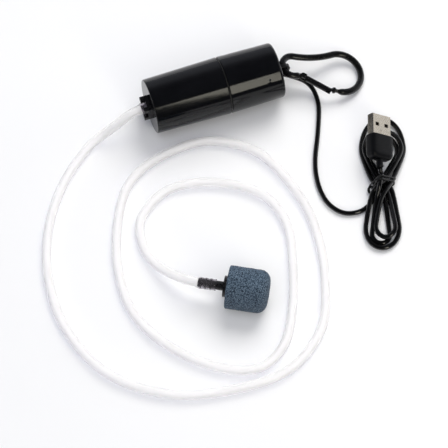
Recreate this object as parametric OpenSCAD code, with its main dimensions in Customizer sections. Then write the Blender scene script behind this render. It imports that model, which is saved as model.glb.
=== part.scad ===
// Small USB aquarium air pump with its clear air line, air stone, USB lead and
// snap hook. The body lies on its side along X: the air outlet faces -X and the
// cable and hanging eye face +X. The origin is on the table under the middle of
// the body, +Z is up, and every size is in millimetres.

/* [Body] */
// Length of the body between its two end faces
body_len = 70; // [66:1:80]
// Diameter of the body at the seam, where it is widest
seam_d = 30.4; // [30:0.2:34]
// Diameter of the outlet end face
outlet_end_d = 29; // [28.6:0.2:30]
// Diameter of the cable end face
cable_end_d = 29.3; // [28.8:0.1:30]
// Length of the front shell, from the outlet face to the seam
front_len = 40; // [38:1:42]
// Wall thickness of both shells
wall = 1.4; // [1.2:0.1:1.5]
// Radius of the rounded rim at the cable end
rim_r = 1.5; // [1:0.1:2]

/* [Air line] */
// Outer diameter of the air tube
tube_d = 5; // [4:0.5:5]
// Side of the square collar around the outlet
collar_side = 9.2; // [9:0.2:11]
// Diameter of the air stone
stone_d = 22.4; // [20:0.2:24]
// Length of the air stone
stone_len = 21.5; // [20:0.5:26]

/* [USB lead] */
// Diameter of the USB lead
lead_d = 2.5; // [2:0.1:2.6]
// Width of the moulded plug body
plug_w = 14; // [13.5:0.5:15]
// Thickness of the moulded plug body
plug_t = 7.5; // [7:0.1:8]
// Length of the moulded plug body
plug_len = 12.8; // [12:0.1:14]

/* [Snap hook] */
// Wire diameter of the hook
wire_d = 3.5; // [3.2:0.1:3.6]
// Centreline radius of the small end
small_r = 5.8; // [5.6:0.1:6]
// Centreline radius of the large end
large_r = 11.3; // [11:0.1:12]
// Distance between the centres of the two ends
end_gap = 26.2; // [25:0.2:27]
// Rest slope of the hook, from the eye down to the table
hook_pitch = 17; // [16:0.5:18]

/* [Pump works] */
// Tilt of the wobble plate
wobble_tilt = 8; // [5:1:9]
// Distance of each diaphragm cup from the axis
cup_ring_r = 7; // [6.8:0.1:7.2]
// Outer diameter of the motor can
motor_d = 23.6; // [22:0.2:23.8]

/* [Hidden] */

$fn = 72;
eps = 0.01;

// Stations along X
outlet_x = -body_len / 2;
cable_x = body_len / 2;
seam_x = outlet_x + front_len;
axis_z = seam_d / 2;
lip_len = 4;
lip_t = 0.9;

// Pump works, from the outlet end backwards
stack_r = 12.2;
head_x = outlet_x + wall + 0.3;
head_t = 4;
valve_x = head_x + head_t;
valve_t = 2.5;
web_x = valve_x + valve_t;
web_t = 1;
holder_x = web_x + web_t;
holder_t = 5.2;
case_x = holder_x + holder_t;
case_len = 17;
nozzle_tip_x = outlet_x - 2.4;
nozzle_r = 2.1;
cup_angles = [0, 120, 240];
screw_angles = [60, 180, 300];
screw_ring_r = 10.3;
screw_r = 0.95;
wobble_x = case_x + 4.3;
wobble_t = 1.8;
pin_r = 0.75;
wheel_x = wobble_x + 5.2;
wheel_t = 3;
shaft_gap = 1.6;

// Motor
motor_x = case_x + case_len + 0.2;
motor_len = 28;
motor_r = motor_d / 2;
can_t = 0.8;
shaft_r = 1;
core_r = 8.3;
core_x = motor_x + 5.5;
core_len = 14;
magnet_in_r = 8.8;
magnet_out_r = motor_r - can_t - 0.05;

// Hanging eye, cable exit and inlet hole on the rear shell
eye_z = 14.4;
eye_h = 7;
eye_t = 1.8;
eye_reach = 6.8;
eye_bar = 1.35;
cable_z = 8.7;
grommet_r = 1.9;
inlet_x = 27.4;
inlet_angle = 45;
inlet_r = 0.6;

// Snap hook: its own plane starts at the eye, runs along hook_yaw and slopes down
hook_at = [cable_x + 3.35, 0, eye_z];
hook_yaw = -18.2;
hook_side = 2.35;
wire_r = wire_d / 2;
waist_r = 24;
spine_r = 50;
small_c = [5.3, hook_side];
large_c = [small_c[0] + end_gap, hook_side];
gate_at = [10.6, hook_side - 5.4];
gate_tip = [26, hook_side - 12];
gate_len = norm(gate_tip - gate_at);
gate_angle = atan2(gate_tip[1] - gate_at[1], gate_tip[0] - gate_at[0]);
gate_r = 1.6;
gate_pin_r = 0.6;
nose_end = -97;
tab_t = 1.3;

// USB hank, plug and their directions on the table
hank_at = [66, -75, 0];
hank_yaw = -18.5;
hank_low = 3.6;
hank_high = 5;
hank_waist = 7.4;
plug_at = [71, -58.4, 10.6];
plug_pitch = 8;
plug_roll = 36;
shell_w = 12;
shell_t = 4.5;
shell_len = 11;
shell_in = 3;
shell_wall = 0.35;
relief_len = 4.6;
lead_r = lead_d / 2;

// Air stone
stone_at = [-29.4, -110, 0];
stone_yaw = -28;
stone_r = stone_d / 2;
stone_edge = 5.5;

// Air tube route, from the outlet nozzle round the table to the air stone
tube_r = tube_d / 2;
tube_route = [
  [-37.4, 0, 15.2], [-45, -0.5, 14.4], [-54, -2, 9.8], [-63, -3, 4.2],
  [-72, -7, 2.5], [-90, -23, 2.5], [-105, -46, 2.5], [-113.5, -74, 2.5],
  [-113, -104, 2.5], [-101, -133, 2.5], [-76, -153.5, 2.5], [-46, -161.5, 2.5],
  [-14, -160.5, 2.5], [9, -144.5, 2.5], [19.5, -122, 2.5], [25, -97, 2.5],
  [24.5, -70, 2.5], [13, -38.5, 2.5], [-10, -22.5, 2.5], [-37, -23.5, 2.5],
  [-58, -34, 2.5], [-71, -56, 2.5], [-78, -80, 2.5], [-78, -105, 2.5],
  [-67, -128, 2.5], [-47, -147.5, 2.5], [-27, -154.5, 2.5], [-11, -146, 2.5],
  [0, -127, 2.5], [8, -104, 2.5], [12.5, -81, 2.5], [6, -61, 2.5],
  [-14, -47, 2.5], [-38, -43, 2.5], [-57, -54, 2.5], [-61.5, -70, 2.5],
  [-58, -84, 4], [-50.5, -95.5, 8.2], [-43, -102.8, 11.2], [-34.4, -107.3, 11.2]
];

// USB lead route, from the grommet to where it runs under the hank
lead_route = [
  [32.6, 0, 8.7], [38, 0, 8.7], [44, -3.5, 7.6], [48.5, -6, 5.4],
  [51.2, -10, 3.4], [51.8, -16, 1.8], [51, -21, 1.3], [48.5, -28, 1.3],
  [44.3, -38, 1.3], [39.5, -48.5, 1.3], [36.6, -58, 1.3], [35.6, -68, 1.3],
  [37.2, -77, 1.3], [42.5, -84, 1.3], [50, -86, 1.3], [56, -84.5, 1.3]
];

// Lead between the hank and the plug
tail_route = [[67.1, -71.9, 6.2], [67.4, -70.6, 7.6], [67.7, -69, 8.7]];

// One point of a smooth curve through p, at u counted in points from its start
function smooth_point(p, u) =
  let (n = len(p) - 1, i = min(floor(u), n - 1), t = u - i,
    a = i > 0 ? p[i - 1] : 2 * p[0] - p[1],
    b = p[i], c = p[i + 1],
    d = i + 2 <= n ? p[i + 2] : 2 * p[n] - p[n - 1])
  0.5 * (2 * b + (c - a) * t + (2 * a - 5 * b + 4 * c - d) * t * t
    + (3 * b - a - 3 * c + d) * t * t * t);

// Curve through p in a given number of rings, kept off the table by radius r
function smooth_route(p, rings, r) =
  [for (k = [0 : rings - 1])
    let (q = smooth_point(p, k * (len(p) - 1) / (rings - 1)))
    [q[0], q[1], max(q[2], r)]];

// Ring of points around c, square to the direction t
function ring(c, t, r, sides) =
  let (d = t / norm(t), side = cross([0, 0, 1], d), s = side / norm(side), up = cross(d, s))
  [for (k = [0 : sides - 1])
    let (a = 360 * (k + 0.5) / sides) c + r * (cos(a) * s + sin(a) * up)];

// Round solid swept through the centres c
module sweep(c, r, sides) {
  last = len(c) - 1;
  points = [for (k = [0 : last])
    each ring(c[k], c[min(k + 1, last)] - c[max(k - 1, 0)], r, sides)];
  skin = [for (k = [0 : last - 1], j = [0 : sides - 1])
    let (a = k * sides + j, b = k * sides + (j + 1) % sides)
    each [[b + sides, b, a], [a + sides, b + sides, a]]];
  caps = [[for (j = [0 : sides - 1]) j],
    [for (j = [sides - 1 : -1 : 0]) last * sides + j]];
  polyhedron(points, concat(skin, caps));
}

// Round cord along a route
module cord(route, rings, r, sides) {
  sweep(smooth_route(route, rings, r), r, sides);
}

// Turns a part drawn along Z so that it runs along the body axis from x
module on_axis(x) {
  translate([x, 0, axis_z]) rotate([0, 90, 0]) children();
}

// Lathe part about the body axis, from points of [radius, x]
module turned(points) {
  on_axis(0) rotate_extrude() polygon(points);
}

// Ring about the body axis
module bush(x, len, r_out, r_in) {
  on_axis(x) difference() {
    cylinder(r = r_out, h = len);
    translate([0, 0, -1]) cylinder(r = r_in, h = len + 2);
  }
}

// Copies at an angle about the body axis, at a distance r from it
module around(x, r, angles) {
  for (a = angles) translate([x, 0, axis_z]) rotate([a, 0, 0])
    translate([0, 0, r]) rotate([0, 90, 0]) children();
}

// Rounded rectangle made of true arcs
module soft_rect(w, h, r) {
  square([w - 2 * r, h], center = true);
  square([w, h - 2 * r], center = true);
  for (x = [-1, 1], y = [-1, 1])
    translate([x * (w / 2 - r), y * (h / 2 - r)]) circle(r);
}

// ---------- casing ----------

module front_shell() color("#2b2b2e") {
  edge = 0.6;
  groove = 0.3;
  difference() {
    turned(concat(
      [[0, outlet_x]],
      [for (a = [0 : 15 : 90]) [outlet_end_d / 2 - edge + edge * sin(a),
        outlet_x + edge - edge * cos(a)]],
      [[seam_d / 2, seam_x - groove], [seam_d / 2 - groove, seam_x],
        [seam_d / 2 - wall, seam_x], [outlet_end_d / 2 - wall, outlet_x + wall],
        [0, outlet_x + wall]]));
    translate([outlet_x - 1, -collar_side / 2 + 1.1, axis_z - collar_side / 2 + 1.1])
      cube([wall + 2, collar_side - 2.2, collar_side - 2.2]);
  }
}

module rear_shell() color("#2b2b2e") {
  lip_r = seam_d / 2 - wall - 0.08;
  difference() {
    union() {
      turned(concat(
        [[0, cable_x]],
        [for (a = [0 : 15 : 90]) [cable_end_d / 2 - rim_r + rim_r * sin(a),
          cable_x - rim_r + rim_r * cos(a)]],
        [[seam_d / 2, seam_x + 1.2], [seam_d / 2, seam_x + 0.95],
          [seam_d / 2 - 0.35, seam_x + 0.7],
          [lip_r, seam_x + 0.7], [lip_r, seam_x - lip_len], [lip_r - lip_t, seam_x - lip_len],
          [lip_r - lip_t, seam_x + 1], [cable_end_d / 2 - wall, cable_x - wall],
          [0, cable_x - wall]]));
      // Boss that carries the eye and the cable
      on_axis(cable_x - wall - 1) cylinder(r = 9, h = 1 + eps);
    }
    translate([cable_x - 5, 0, cable_z]) rotate([0, 90, 0]) cylinder(r = grommet_r, h = 10);
    translate([cable_x - 5, -eye_t / 2, eye_z - eye_h / 2]) cube([10, eye_t, eye_h]);
    translate([inlet_x, 0, axis_z]) rotate([inlet_angle, 0, 0]) cylinder(r = inlet_r, h = 20);
  }
}

module seam_ring() color("#161618")
  bush(seam_x, 0.7, seam_d / 2 - 0.45, seam_d / 2 - wall - 0.05);

module outlet_collar() color("#1c1c1f") {
  half = collar_side / 2;
  reach = 4.2;
  bore = 3.05;
  notch_w = 4.4;
  notch_d = 2.2;
  difference() {
    union() {
      translate([outlet_x - reach, -half, axis_z - half]) cube([reach, collar_side, collar_side]);
      translate([outlet_x, -half + 1.1, axis_z - half + 1.1])
        cube([wall, collar_side - 2.2, collar_side - 2.2]);
    }
    translate([outlet_x - reach - 1, 0, axis_z]) rotate([0, 90, 0])
      cylinder(r = bore, h = reach + wall + 2);
    for (a = [0, 90, 180, 270])
      translate([outlet_x - reach - 1, 0, axis_z]) rotate([a, 0, 0])
        translate([0, -notch_w / 2, 0]) cube([notch_d + 1, notch_w, half + 1]);
  }
}

module hang_eye() color("#232326") {
  hole_h = eye_h - 2 * eye_bar;
  reach_in = eye_reach - eye_bar;
  nose_r = eye_h / 2;
  translate([cable_x, 0, eye_z]) rotate([90, 0, 0]) difference() {
    union() {
      translate([0, 0, -eye_t / 2]) linear_extrude(eye_t) {
        translate([-wall - 1, -eye_h / 2]) square([eye_reach - nose_r + wall + 1, eye_h]);
        translate([eye_reach - nose_r, 0]) circle(nose_r);
      }
      // Flange that holds the eye inside the shell
      translate([-wall - 1.8, -eye_h / 2 + 1.2, -eye_t / 2 - 1]) cube([0.8, eye_h - 2, eye_t + 2]);
    }
    translate([0, 0, -2]) linear_extrude(4) {
      translate([1.1, -hole_h / 2]) square([reach_in - 1.1 - hole_h / 2, hole_h]);
      translate([reach_in - hole_h / 2, 0]) circle(hole_h / 2);
    }
  }
}

module cable_grommet() color("#19191b")
  translate([0, 0, cable_z]) rotate([0, 90, 0]) difference() {
    union() {
      translate([0, 0, cable_x - wall - 1]) cylinder(r = grommet_r, h = wall + 1 + 1.4);
      translate([0, 0, cable_x - wall - 2]) cylinder(r = grommet_r + 0.8, h = 1);
    }
    translate([0, 0, cable_x - 6]) cylinder(r = lead_r + 0.02, h = 12);
  }

module inlet_filter() color("#8f9aa3")
  translate([inlet_x, 0, axis_z]) rotate([inlet_angle, 0, 0])
    translate([-2.5, -2, 12.1]) cube([5, 4, 0.8]);

// ---------- pump works ----------

module pump_head() color("#c9cbd0") {
  difference() {
    union() {
      on_axis(head_x) cylinder(r = stack_r, h = head_t);
      on_axis(nozzle_tip_x) cylinder(r = nozzle_r, h = head_x - nozzle_tip_x + 1);
      on_axis(nozzle_tip_x) cylinder(r1 = nozzle_r - 0.3, r2 = nozzle_r + 0.3, h = 1.6);
    }
    on_axis(nozzle_tip_x - 1) cylinder(r = 1.1, h = 12);
    on_axis(valve_x - 1.8) cylinder(r = 5, h = 3);
    // Intake channel over the valve stems, open to the side
    bush(valve_x - 1.2, 2, 8.4, 5.8);
    translate([valve_x - 1.2, -1, axis_z + 7]) cube([2, 2, 8]);
    around(head_x - 1, screw_ring_r, screw_angles) cylinder(r = screw_r + 0.05, h = head_t + 2);
    around(head_x - 1, screw_ring_r, screw_angles) cylinder(r = 1.75, h = 2.4);
  }
}

module valve_plate() color("#d9d4c4") {
  difference() {
    on_axis(valve_x) cylinder(r = stack_r, h = valve_t);
    around(valve_x - 1, screw_ring_r, screw_angles) cylinder(r = screw_r + 0.05, h = valve_t + 2);
    around(valve_x - 1, cup_ring_r, cup_angles) cylinder(r = 0.6, h = valve_t + 2);
    // Delivery holes under the head chamber, and intake holes beside each valve stem
    around(valve_x - 1, 4, cup_angles) cylinder(r = 0.5, h = valve_t + 2);
    for (a = [-12, 12])
      around(valve_x - 1, cup_ring_r, [for (c = cup_angles) c + a]) cylinder(r = 0.4, h = valve_t + 2);
  }
}

module check_valves() color("#b23c2e")
  around(valve_x + 1, cup_ring_r, cup_angles) {
    cylinder(r = 0.58, h = valve_t - 1);
    translate([0, 0, valve_t - 1]) cylinder(r = 2.1, h = 0.45);
  }

// Where the front face of an arm of the wobble plate crosses its stem
function arm_face(a) = wobble_x - wobble_t / 2 / cos(wobble_tilt)
  - cup_ring_r * cos(a) * tan(wobble_tilt);

module diaphragm() color("#3b3f45") {
  cup_depth = 4;
  difference() {
    on_axis(web_x) cylinder(r = stack_r, h = web_t);
    around(web_x - 1, screw_ring_r, screw_angles) cylinder(r = screw_r + 0.05, h = web_t + 2);
    around(web_x - 1, cup_ring_r, cup_angles) cylinder(r = 2.5, h = web_t + 2);
  }
  difference() {
    around(web_x + web_t, cup_ring_r, cup_angles) cylinder(r1 = 3.3, r2 = 2.9, h = cup_depth);
    around(web_x + web_t - 1, cup_ring_r, cup_angles) cylinder(r = 2.4, h = cup_depth);
  }
  for (a = cup_angles) {
    stem_x = web_x + web_t + cup_depth;
    stem_len = arm_face(a) + wobble_t + 0.5 - stem_x;
    around(stem_x, cup_ring_r, [a]) cylinder(r = 0.8, h = stem_len);
    around(stem_x + stem_len, cup_ring_r, [a]) cylinder(r1 = 1.5, r2 = 0.7, h = 1.4);
  }
}

module cup_holder() color("#c9cbd0")
  difference() {
    on_axis(holder_x) cylinder(r = stack_r, h = holder_t);
    around(holder_x - 1, cup_ring_r, cup_angles) cylinder(r = 3.7, h = holder_t + 2);
    around(holder_x - 1, screw_ring_r, screw_angles) cylinder(r = screw_r + 0.05, h = holder_t + 2);
  }

module crank_case() color("#b9bcc2") {
  floor_t = 1.6;
  difference() {
    union() {
      difference() {
        on_axis(case_x) cylinder(r = stack_r, h = case_len);
        on_axis(case_x - 1) cylinder(r = 10.6, h = case_len - floor_t + 1);
        on_axis(case_x) cylinder(r = 3.3, h = case_len + 2);
      }
      // Screw posts inside the case
      around(case_x, screw_ring_r - 0.2, screw_angles) cylinder(r = 1.6, h = 6);
    }
    around(case_x - 1, screw_ring_r, screw_angles) cylinder(r = screw_r, h = 6);
  }
}

module head_screws() color("#aeb2b8")
  around(head_x + 0.2, screw_ring_r, screw_angles) difference() {
    union() {
      cylinder(r = 1.6, h = 1.2);
      cylinder(r = screw_r, h = valve_t + web_t + holder_t + head_t + 4);
    }
    for (a = [0, 90]) rotate([0, 0, a]) translate([-1.1, -0.22, -1]) cube([2.2, 0.44, 1.7]);
  }

// Wobble frame: the plate's own axis runs along the tilted crank pin
module on_wobble(x) {
  translate([wobble_x, 0, axis_z]) rotate([0, -wobble_tilt, 0])
    translate([x, 0, 0]) rotate([0, 90, 0]) children();
}

module wobble_plate() color("#e4e2da")
  difference() {
    union() {
      on_wobble(-wobble_t / 2) cylinder(r = 3, h = wobble_t);
      on_wobble(-wobble_t / 2) cylinder(r = 1.9, h = 4);
      for (a = cup_angles) translate([wobble_x, 0, axis_z]) rotate([0, -wobble_tilt, 0])
        rotate([a, 0, 0]) {
          translate([-wobble_t / 2, -1.7, 0]) cube([wobble_t, 3.4, cup_ring_r]);
          translate([-wobble_t / 2, 0, cup_ring_r]) rotate([0, 90, 0]) cylinder(r = 2.1, h = wobble_t);
        }
    }
    on_wobble(-0.4) cylinder(r = pin_r + 0.05, h = 8);
    for (a = cup_angles) translate([wobble_x, 0, axis_z]) rotate([0, -wobble_tilt, 0])
      rotate([a, 0, 0]) translate([-3, 0, cup_ring_r]) rotate([0, 90, 0]) cylinder(r = 1.25, h = 6);
  }

module crank_wheel() color("#4a4c50")
  difference() {
    on_axis(wheel_x) cylinder(r = 4.6, h = wheel_t);
    on_axis(wheel_x + shaft_gap) cylinder(r = shaft_r, h = wheel_t);
    pin_body();
  }

// Tilted pin, cut square where it meets the end of the motor shaft
module pin_body() {
  intersection() {
    on_wobble(-0.2) cylinder(r = pin_r, h = 12);
    on_axis(wobble_x - 3) cylinder(r = 8, h = wheel_x + shaft_gap - wobble_x + 3);
  }
}

module crank_pin() color("#d5d8dc") pin_body();

// ---------- motor ----------

module motor_shaft() color("#d5d8dc")
  on_axis(wheel_x + shaft_gap)
    cylinder(r = shaft_r, h = motor_x + motor_len + 0.6 - wheel_x - shaft_gap);

module motor_can() color("#b4b8bd") {
  difference() {
    union() {
      on_axis(motor_x) cylinder(r = motor_r, h = motor_len);
      on_axis(motor_x - 1.4) cylinder(r = 3.1, h = 2);
    }
    on_axis(motor_x + can_t) cylinder(r = motor_r - can_t, h = motor_len);
    on_axis(motor_x - 3) cylinder(r = 2.4, h = 5);
  }
}

module motor_magnets() color("#3a3a3d")
  difference() {
    bush(core_x - 1.5, core_len + 3, magnet_out_r, magnet_in_r);
    for (a = [0, 180]) translate([core_x - 3, 0, axis_z]) rotate([a, 0, 0])
      translate([0, -2.5, 0]) cube([core_len + 6, 5, 20]);
  }

module shaft_bushing() color("#b08d4a")
  bush(motor_x - 1.4, 2.1, 2.4, shaft_r + 0.03);

module armature_core() color("#8b8e93")
  difference() {
    bush(core_x, core_len, core_r, shaft_r);
    // Slots between the poles, each with its mouth at the rim
    for (a = [60, 180, 300]) translate([core_x - 1, 0, axis_z]) rotate([a, 0, 0]) {
      translate([0, -0.6, 3]) cube([core_len + 2, 1.2, 10]);
      translate([0, 0, 5]) rotate([0, 90, 0]) cylinder(r = 1.9, h = core_len + 2);
    }
  }

module windings() color("#b8642c")
  for (x = [core_x - 1.8, core_x + core_len]) difference() {
    bush(x, 1.8, 7.4, 1.8);
    for (a = [60, 180, 300]) translate([x - 1, 0, axis_z]) rotate([a, 0, 0])
      translate([0, -1, 2.6]) cube([4, 2, 8]);
  }

module commutator() color("#c98a52")
  difference() {
    bush(core_x + core_len + 1.8, 3.6, 2.6, shaft_r);
    for (a = [0, 120, 240]) translate([core_x + core_len + 1, 0, axis_z]) rotate([a, 0, 0])
      translate([0, -0.2, 2]) cube([8, 0.4, 2]);
  }

module brush_cap() color("#e9e6dc") {
  cap_x = motor_x + motor_len - 2;
  difference() {
    union() {
      on_axis(cap_x) cylinder(r = motor_r - can_t - 0.02, h = 2);
      on_axis(cap_x + 1.5) cylinder(r = 2.6, h = 1.6);
    }
    on_axis(cap_x - 1) cylinder(r = shaft_r + 0.03, h = 6);
    for (y = [-6, 6]) translate([cap_x - 1, y - 0.3, axis_z - 1.2]) cube([4, 0.6, 2.4]);
  }
}

module brushes() color("#55504a")
  for (s = [-1, 1]) translate([core_x + core_len + 2.4, s * 2.9 - (s < 0 ? 1.6 : 0), axis_z - 0.9])
    cube([2, 1.6, 1.8]);

module terminals() color("#c9a24b")
  for (y = [-6, 6]) translate([motor_x + motor_len - 2.6, y - 0.28, axis_z - 1.15])
    difference() {
      cube([5, 0.56, 2.3]);
      translate([4, -1, 1.15]) rotate([-90, 0, 0]) cylinder(r = 0.5, h = 3);
    }

module foam_sleeve() color("#6c7076") bush(motor_x + 1, motor_len - 3, motor_r + 0.7, motor_r + 0.02);

module inner_leads() {
  solder_x = motor_x + motor_len + 1.2;
  for (s = [-1, 1]) color(s > 0 ? "#b02222" : "#1d1d1f")
    cord([[solder_x, s * 5.2, axis_z], [solder_x + 2.5, s * 4.4, axis_z - 1.5],
      [30, s * 1.6, cable_z + 1.6], [31.2, s * 0.62, cable_z + 0.2], [32.5, s * 0.62, cable_z]],
      9, 0.5, 8);
}

// ---------- snap hook ----------

// Plane of the hook: X along its length, Y across it, Z square to it
module hook_plane() {
  translate(hook_at) rotate([0, 0, hook_yaw]) rotate([0, hook_pitch, 0]) children();
}

// Points along an arc about c, without its first point
function arc_points(c, r, from, to, n) =
  [for (k = [1 : n]) let (a = from + (to - from) * k / n)
    [c[0] + r * cos(a), c[1] + r * sin(a), 0]];

// Centre, from the small end's own, of an arc of radius r that touches both end arcs
function touch_x(r) =
  (pow(small_r + r, 2) - pow(large_r + r, 2) + pow(end_gap, 2)) / (2 * end_gap);
function touch_y(r) = sqrt(pow(small_r + r, 2) - pow(touch_x(r), 2));

// Centreline of the wire, from the gate pin round the small end to the nose
function hook_path() =
  let (x = touch_x(spine_r), y = touch_y(spine_r), low_x = touch_x(waist_r),
    low_y = touch_y(waist_r), top_touch = atan2(y, x), low_touch = atan2(low_y, low_x))
  concat(
    arc_points(small_c + [low_x, -low_y], waist_r, 172 - low_touch, 180 - low_touch, 3),
    arc_points(small_c, small_r, 360 - low_touch, top_touch, 18),
    arc_points(small_c + [x, y], spine_r, top_touch - 180, atan2(-y, end_gap - x), 6),
    arc_points(large_c, large_r, atan2(y, x - end_gap), nose_end, 22));

module carabiner_frame() color("#202023") hook_plane() {
  nose = large_c + (large_r + 0.02) * [cos(nose_end), sin(nose_end)];
  sweep(hook_path(), wire_r, 12);
  // Flat tab for the gate pin
  difference() {
    union() {
      translate([gate_at[0], gate_at[1], -tab_t / 2]) cylinder(r = 1.45, h = tab_t);
      translate([gate_at[0] - 3.4, gate_at[1] - 1.4, -tab_t / 2]) cube([3.4, 2.8, tab_t]);
    }
    translate([gate_at[0], gate_at[1], -3]) cylinder(r = gate_pin_r, h = 6);
  }
  // Nose: a narrow neck, a knob, and the tip that the gate closes over
  translate([nose[0], nose[1], 0]) rotate([0, 0, 176]) rotate([0, 90, 0])
    rotate_extrude() polygon([[0, -0.5], [1, -0.5], [1, 1.4], [1.65, 1.9], [1.65, 3],
      [0.65, 3.4], [0.65, 5.2], [0, 5.2]]);
}

// Gate frame: X along the gate from its pin to its free end
module gate_plane() {
  hook_plane() translate([gate_at[0], gate_at[1], 0]) rotate([0, 0, gate_angle]) children();
}

module carabiner_gate() color("#202023") gate_plane()
  difference() {
    union() {
      translate([1.2, 0, 0]) rotate([0, 90, 0]) cylinder(r = gate_r, h = gate_len - 1.2);
      translate([0, 0, -gate_r]) cylinder(r = 1.45, h = 2 * gate_r);
      translate([0, -1.45, -gate_r]) cube([1.6, 2.9, 2 * gate_r]);
    }
    // Fork that straddles the tab
    translate([-3, -4, -tab_t / 2 - 0.15]) cube([5.6, 8, tab_t + 0.3]);
    translate([0, 0, -3]) cylinder(r = gate_pin_r + 0.05, h = 6);
    // Slot that closes over the tip of the nose
    translate([gate_len - 2.6, -3, -0.95]) cube([4, 6, 1.9]);
  }

module gate_pivot() color("#8f9297") gate_plane()
  translate([0, 0, -gate_r - 0.25]) cylinder(r = gate_pin_r, h = 2 * gate_r + 0.5);

module gate_spring() color("#c5c8cc") gate_plane()
  translate([1.42, -0.4, -0.3]) cube([1.05, 0.8, 0.6]);

// ---------- air line ----------

module air_tube() color("#dfe6ea") cord(tube_route, 60, tube_r, 10);

// Stone frame: X along the stone, from the face that carries the nozzle
module stone_frame() {
  translate(stone_at + [0, 0, stone_r]) rotate([0, 0, stone_yaw]) rotate([0, 90, 0]) children();
}

module stone_nozzle() color("#232427") stone_frame()
  difference() {
    union() {
      translate([0, 0, -1.8]) cylinder(r = 5.5, h = 1.8);
      translate([0, 0, -5.8]) cylinder(r = 2.35, h = 4.2);
      translate([0, 0, -15]) cylinder(r = 1.55, h = 9.4);
      for (k = [0 : 2]) translate([0, 0, -15 + 2.6 * k]) cylinder(r1 = 1.35, r2 = 1.95, h = 1.8);
      translate([0, 0, -eps]) cylinder(r = 1.9, h = 8 + eps);
    }
    translate([0, 0, -16]) cylinder(r = 0.8, h = 30);
  }

module air_stone() color("#8a9bb0") stone_frame()
  difference() {
    rotate_extrude() difference() {
      union() {
        square([stone_r - stone_edge, stone_len]);
        square([stone_r, stone_len - stone_edge]);
        translate([stone_r - stone_edge, stone_len - stone_edge]) circle(stone_edge);
      }
      translate([-20, -20]) square([20, 60]);
    }
    translate([0, 0, -1]) cylinder(r = 1.92, h = 9.1);
  }

// ---------- USB lead ----------

module usb_lead() color("#1b1b1d") cord(lead_route, 16, lead_r, 8);

module usb_tail() color("#1b1b1d") cord(tail_route, 3, lead_r, 8);

// Hank frame: Y along the hank towards its upper loop
module hank_frame() {
  translate(hank_at) rotate([0, 0, hank_yaw]) children();
}

module usb_hank() color("#1b1b1d") hank_frame() {
  linear_extrude(hank_high) hull() {
    translate([0.9, -26]) circle(10.9, $fn = 32);
    translate([0.9, -29.5]) circle(10, $fn = 32);
    translate([0, -3]) circle(5, $fn = 32);
  }
  linear_extrude(hank_low) hull() {
    translate([0.9, 22]) circle(12.9, $fn = 32);
    translate([0.9, 30]) circle(10.9, $fn = 32);
    translate([0, 3]) circle(5, $fn = 32);
  }
  linear_extrude(hank_waist) circle(3.4);
}

module twist_tie() color("#161618") hank_frame() {
  // Flat band around the waist, with its twisted ends on the left
  band_w = 1.6;
  difference() {
    translate([0, band_w / 2, 3.4]) rotate([90, 0, 0]) linear_extrude(band_w)
      soft_rect(13.4, 11, 3);
    translate([-7, -2, -3]) cube([14, 4, 3]);
    translate([0, 2, 2.4]) rotate([90, 0, 0]) linear_extrude(4) soft_rect(11.9, 11.4, 2.3);
  }
  translate([-6.2, 0, 5]) rotate([0, -100, 20]) cylinder(r = 0.9, h = 3.4);
}

// Plug frame: Y points out of the mouth, X across the plug, Z square to its flat side
module plug_frame() {
  translate(plug_at) rotate([0, 0, hank_yaw]) rotate([plug_pitch, 0, 0]) rotate([0, plug_roll, 0])
    children();
}

// Draws a flat outline in X and Z and carries it from y0 to y1
module plug_block(y0, y1) {
  translate([0, y1, 0]) rotate([90, 0, 0]) linear_extrude(y1 - y0) children();
}

module usb_overmould() color("#202124") plug_frame()
  difference() {
    plug_block(-plug_len / 2, plug_len / 2) soft_rect(plug_w, plug_t, 2);
    plug_block(plug_len / 2 - shell_in, plug_len / 2 + 1) square([shell_w, shell_t], center = true);
    translate([0, -plug_len / 2 + 1, 0]) rotate([90, 0, 0]) cylinder(r = 2.1, h = 3);
  }

module usb_strain_relief() color("#202124") plug_frame()
  translate([0, -plug_len / 2 + 1, 0]) rotate([90, 0, 0]) {
    cylinder(r = 2.1, h = 1.6);
    translate([0, 0, 1.6]) cylinder(r = 1.8, h = relief_len - 2);
    translate([0, 0, relief_len - 0.4]) cylinder(r = 2, h = 0.9);
    translate([0, 0, relief_len + 0.5]) cylinder(r1 = 1.8, r2 = 1.5, h = 0.5);
  }

module usb_shell() color("#c3c4c8") plug_frame() {
  y0 = plug_len / 2 - shell_in;
  y1 = plug_len / 2 + shell_len;
  window = 2.3;
  difference() {
    plug_block(y0, y1) soft_rect(shell_w, shell_t, 0.6);
    plug_block(y0 + 0.6, y1 + 1)
      square([shell_w - 2 * shell_wall, shell_t - 2 * shell_wall], center = true);
    for (x = [-1, 1], z = [-1, 1])
      translate([x * 2.9 - window / 2, plug_len / 2 + 4.6, z * shell_t / 2 - 1]) cube([window, 1.9, 2]);
  }
  // Weld tongue pressed into the top
  translate([0, plug_len / 2 + 2.4, shell_t / 2 - 0.02]) cylinder(r = 0.8, h = 0.18);
}

module usb_tongue() color("#f0f0f0") plug_frame()
  translate([-5.6, plug_len / 2 - shell_in + 0.6, -shell_t / 2 + shell_wall + 0.02])
    cube([11.2, shell_len + shell_in - 1.4, 1.8]);

module usb_contacts() color("#d9b45a") plug_frame()
  for (x = [-3.5, -1, 1, 3.5])
    translate([x - 0.55, plug_len / 2 + 3, -shell_t / 2 + shell_wall + 1.82])
      cube([1.1, 6.6, 0.14]);

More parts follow.
